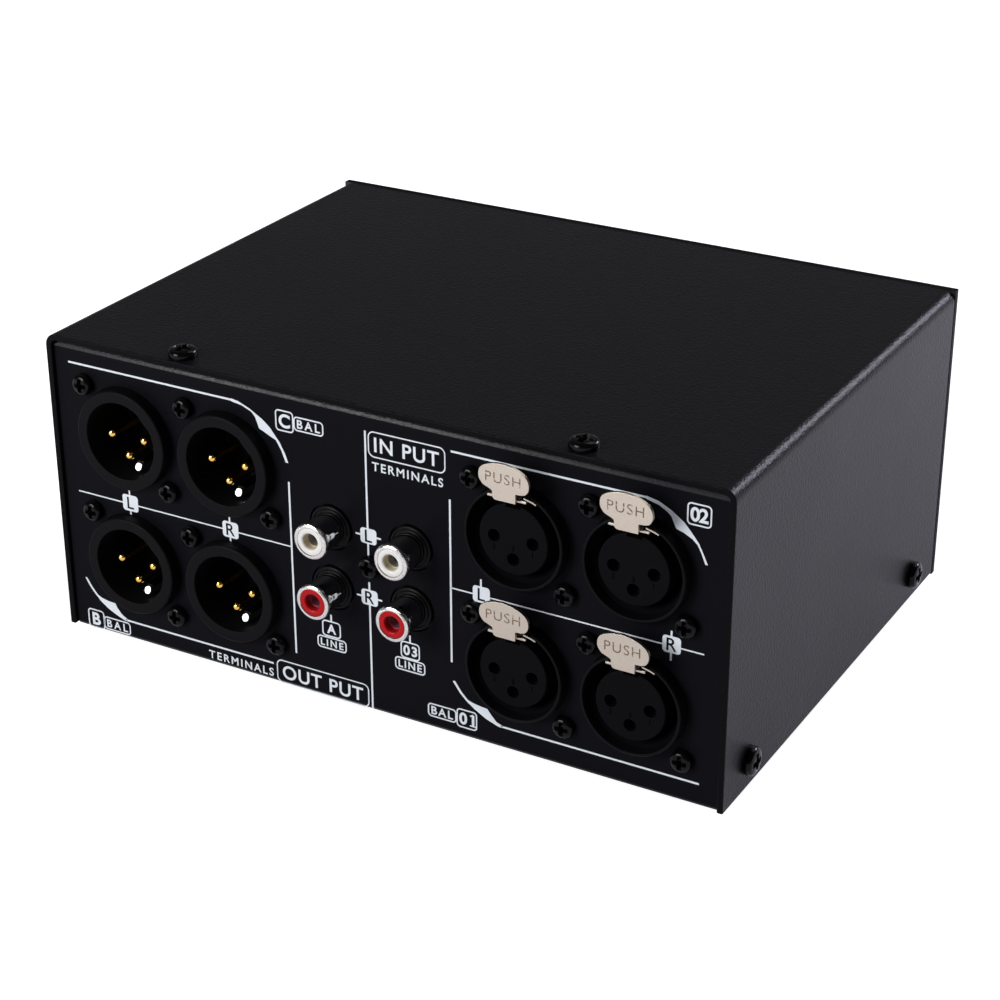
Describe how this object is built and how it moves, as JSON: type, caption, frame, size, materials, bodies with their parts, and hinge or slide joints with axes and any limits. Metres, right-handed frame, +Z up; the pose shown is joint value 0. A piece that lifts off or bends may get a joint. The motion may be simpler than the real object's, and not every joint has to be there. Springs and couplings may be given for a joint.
{
  "type": "passive preamplifier",
  "caption": "Black folded-steel audio preamplifier without power supply: round and phono sockets with push latches on the rear, three dials in front.",
  "frame": {"origin": "middle of the whole outline, at the table that the feet stand on", "axes": "+Z up, -Y towards the dials, +Y towards the sockets, +X to the right as the dials are faced"},
  "size_m": [0.1844, 0.16, 0.0852],
  "materials": {
    "case_paint": "black powder coat with fine grain",
    "front_plate": "brushed, black anodised",
    "knob_metal": "turned, black anodised",
    "black_screw": "black zinc",
    "rubber": "matt",
    "socket_plastic": "moulded black",
    "gold_contact": "gold plated",
    "nickel": "bright nickel",
    "latch_nickel": "satin nickel",
    "spring_steel": "bright",
    "white_insulator": "moulded white",
    "red_insulator": "moulded red",
    "circuit_board": "green solder mask",
    "header_plastic": "moulded",
    "ribbon": "grey flat cable",
    "control_case": "zinc plated",
    "shaft_metal": "turned",
    "white_print": "screen print on the panels"
  },
  "bodies": {
    "case": {"base_chassis": "case_paint", "top_cover": "case_paint", "front_panel": "front_plate", "cover_screws": "black_screw", "front_panel_screws": "black_screw", "rubber_feet": "rubber", "foot_screws": "black_screw", "output_pins": "gold_contact", "output_ground_tabs": "nickel", "input_contacts": "gold_contact", "output_socket_screws": "black_screw", "input_socket_screws": "black_screw", "phono_block_screw": "black_screw", "phono_block": "socket_plastic", "phono_insulators_white": "white_insulator", "phono_insulators_red": "red_insulator", "phono_contacts": "nickel", "connector_board": "circuit_board", "ribbon_headers": "header_plastic", "input_ribbon_cable": "ribbon", "volume_ribbon_cable": "ribbon", "output_ribbon_cable": "ribbon", "volume_control_case": "control_case", "input_switch_case": "control_case", "output_switch_case": "control_case", "dial_washers": "control_case", "dial_nuts": "control_case", "output_socket_c_left": "socket_plastic", "output_socket_c_right": "socket_plastic", "output_socket_b_left": "socket_plastic", "output_socket_b_right": "socket_plastic", "input_socket_2_left": "socket_plastic", "input_insert_2_left": "socket_plastic", "latch_spring_2_left": "spring_steel", "input_socket_2_right": "socket_plastic", "input_insert_2_right": "socket_plastic", "latch_spring_2_right": "spring_steel", "input_socket_1_left": "socket_plastic", "input_insert_1_left": "socket_plastic", "latch_spring_1_left": "spring_steel", "input_socket_1_right": "socket_plastic", "input_insert_1_right": "socket_plastic", "latch_spring_1_right": "spring_steel", "phono_shell_output_left": "nickel", "phono_shell_output_right": "nickel", "phono_shell_input_left": "nickel", "phono_shell_input_right": "nickel"},
    "latch_2_left": {"input_latch_2_left": "latch_nickel"},
    "latch_2_right": {"input_latch_2_right": "latch_nickel"},
    "latch_1_left": {"input_latch_1_left": "latch_nickel"},
    "latch_1_right": {"input_latch_1_right": "latch_nickel"},
    "input_dial": {"input_knob": "knob_metal", "input_shaft": "shaft_metal", "input_grub_screw": "black_screw"},
    "volume_dial": {"volume_knob": "knob_metal", "volume_shaft": "shaft_metal", "volume_grub_screw": "black_screw"},
    "output_dial": {"output_knob": "knob_metal", "output_shaft": "shaft_metal", "output_grub_screw": "black_screw"}
  },
  "joints": [
    {"name": "latch_2_left_push", "type": "slide", "parent": "case", "child": "latch_2_left", "axis": [0, -1, 0], "range_m": [0, 0.0018], "stiffness_N_per_m": 1500, "springref_m": -0.0006, "deforming": ["latch_spring_2_left"]},
    {"name": "latch_2_right_push", "type": "slide", "parent": "case", "child": "latch_2_right", "axis": [0, -1, 0], "range_m": [0, 0.0018], "stiffness_N_per_m": 1500, "springref_m": -0.0006, "deforming": ["latch_spring_2_right"]},
    {"name": "latch_1_left_push", "type": "slide", "parent": "case", "child": "latch_1_left", "axis": [0, -1, 0], "range_m": [0, 0.0018], "stiffness_N_per_m": 1500, "springref_m": -0.0006, "deforming": ["latch_spring_1_left"]},
    {"name": "latch_1_right_push", "type": "slide", "parent": "case", "child": "latch_1_right", "axis": [0, -1, 0], "range_m": [0, 0.0018], "stiffness_N_per_m": 1500, "springref_m": -0.0006, "deforming": ["latch_spring_1_right"]},
    {"name": "input_turn", "type": "hinge", "parent": "case", "child": "input_dial", "pos_m": [-0.052, -0.062, 0.0435], "axis": [0, 1, 0], "range_deg": [-30, 30]},
    {"name": "volume_turn", "type": "hinge", "parent": "case", "child": "volume_dial", "pos_m": [0, -0.062, 0.0435], "axis": [0, 1, 0], "range_deg": [-150, 150]},
    {"name": "output_turn", "type": "hinge", "parent": "case", "child": "output_dial", "pos_m": [0.052, -0.062, 0.0435], "axis": [0, 1, 0], "range_deg": [-30, 30]}
  ]
}
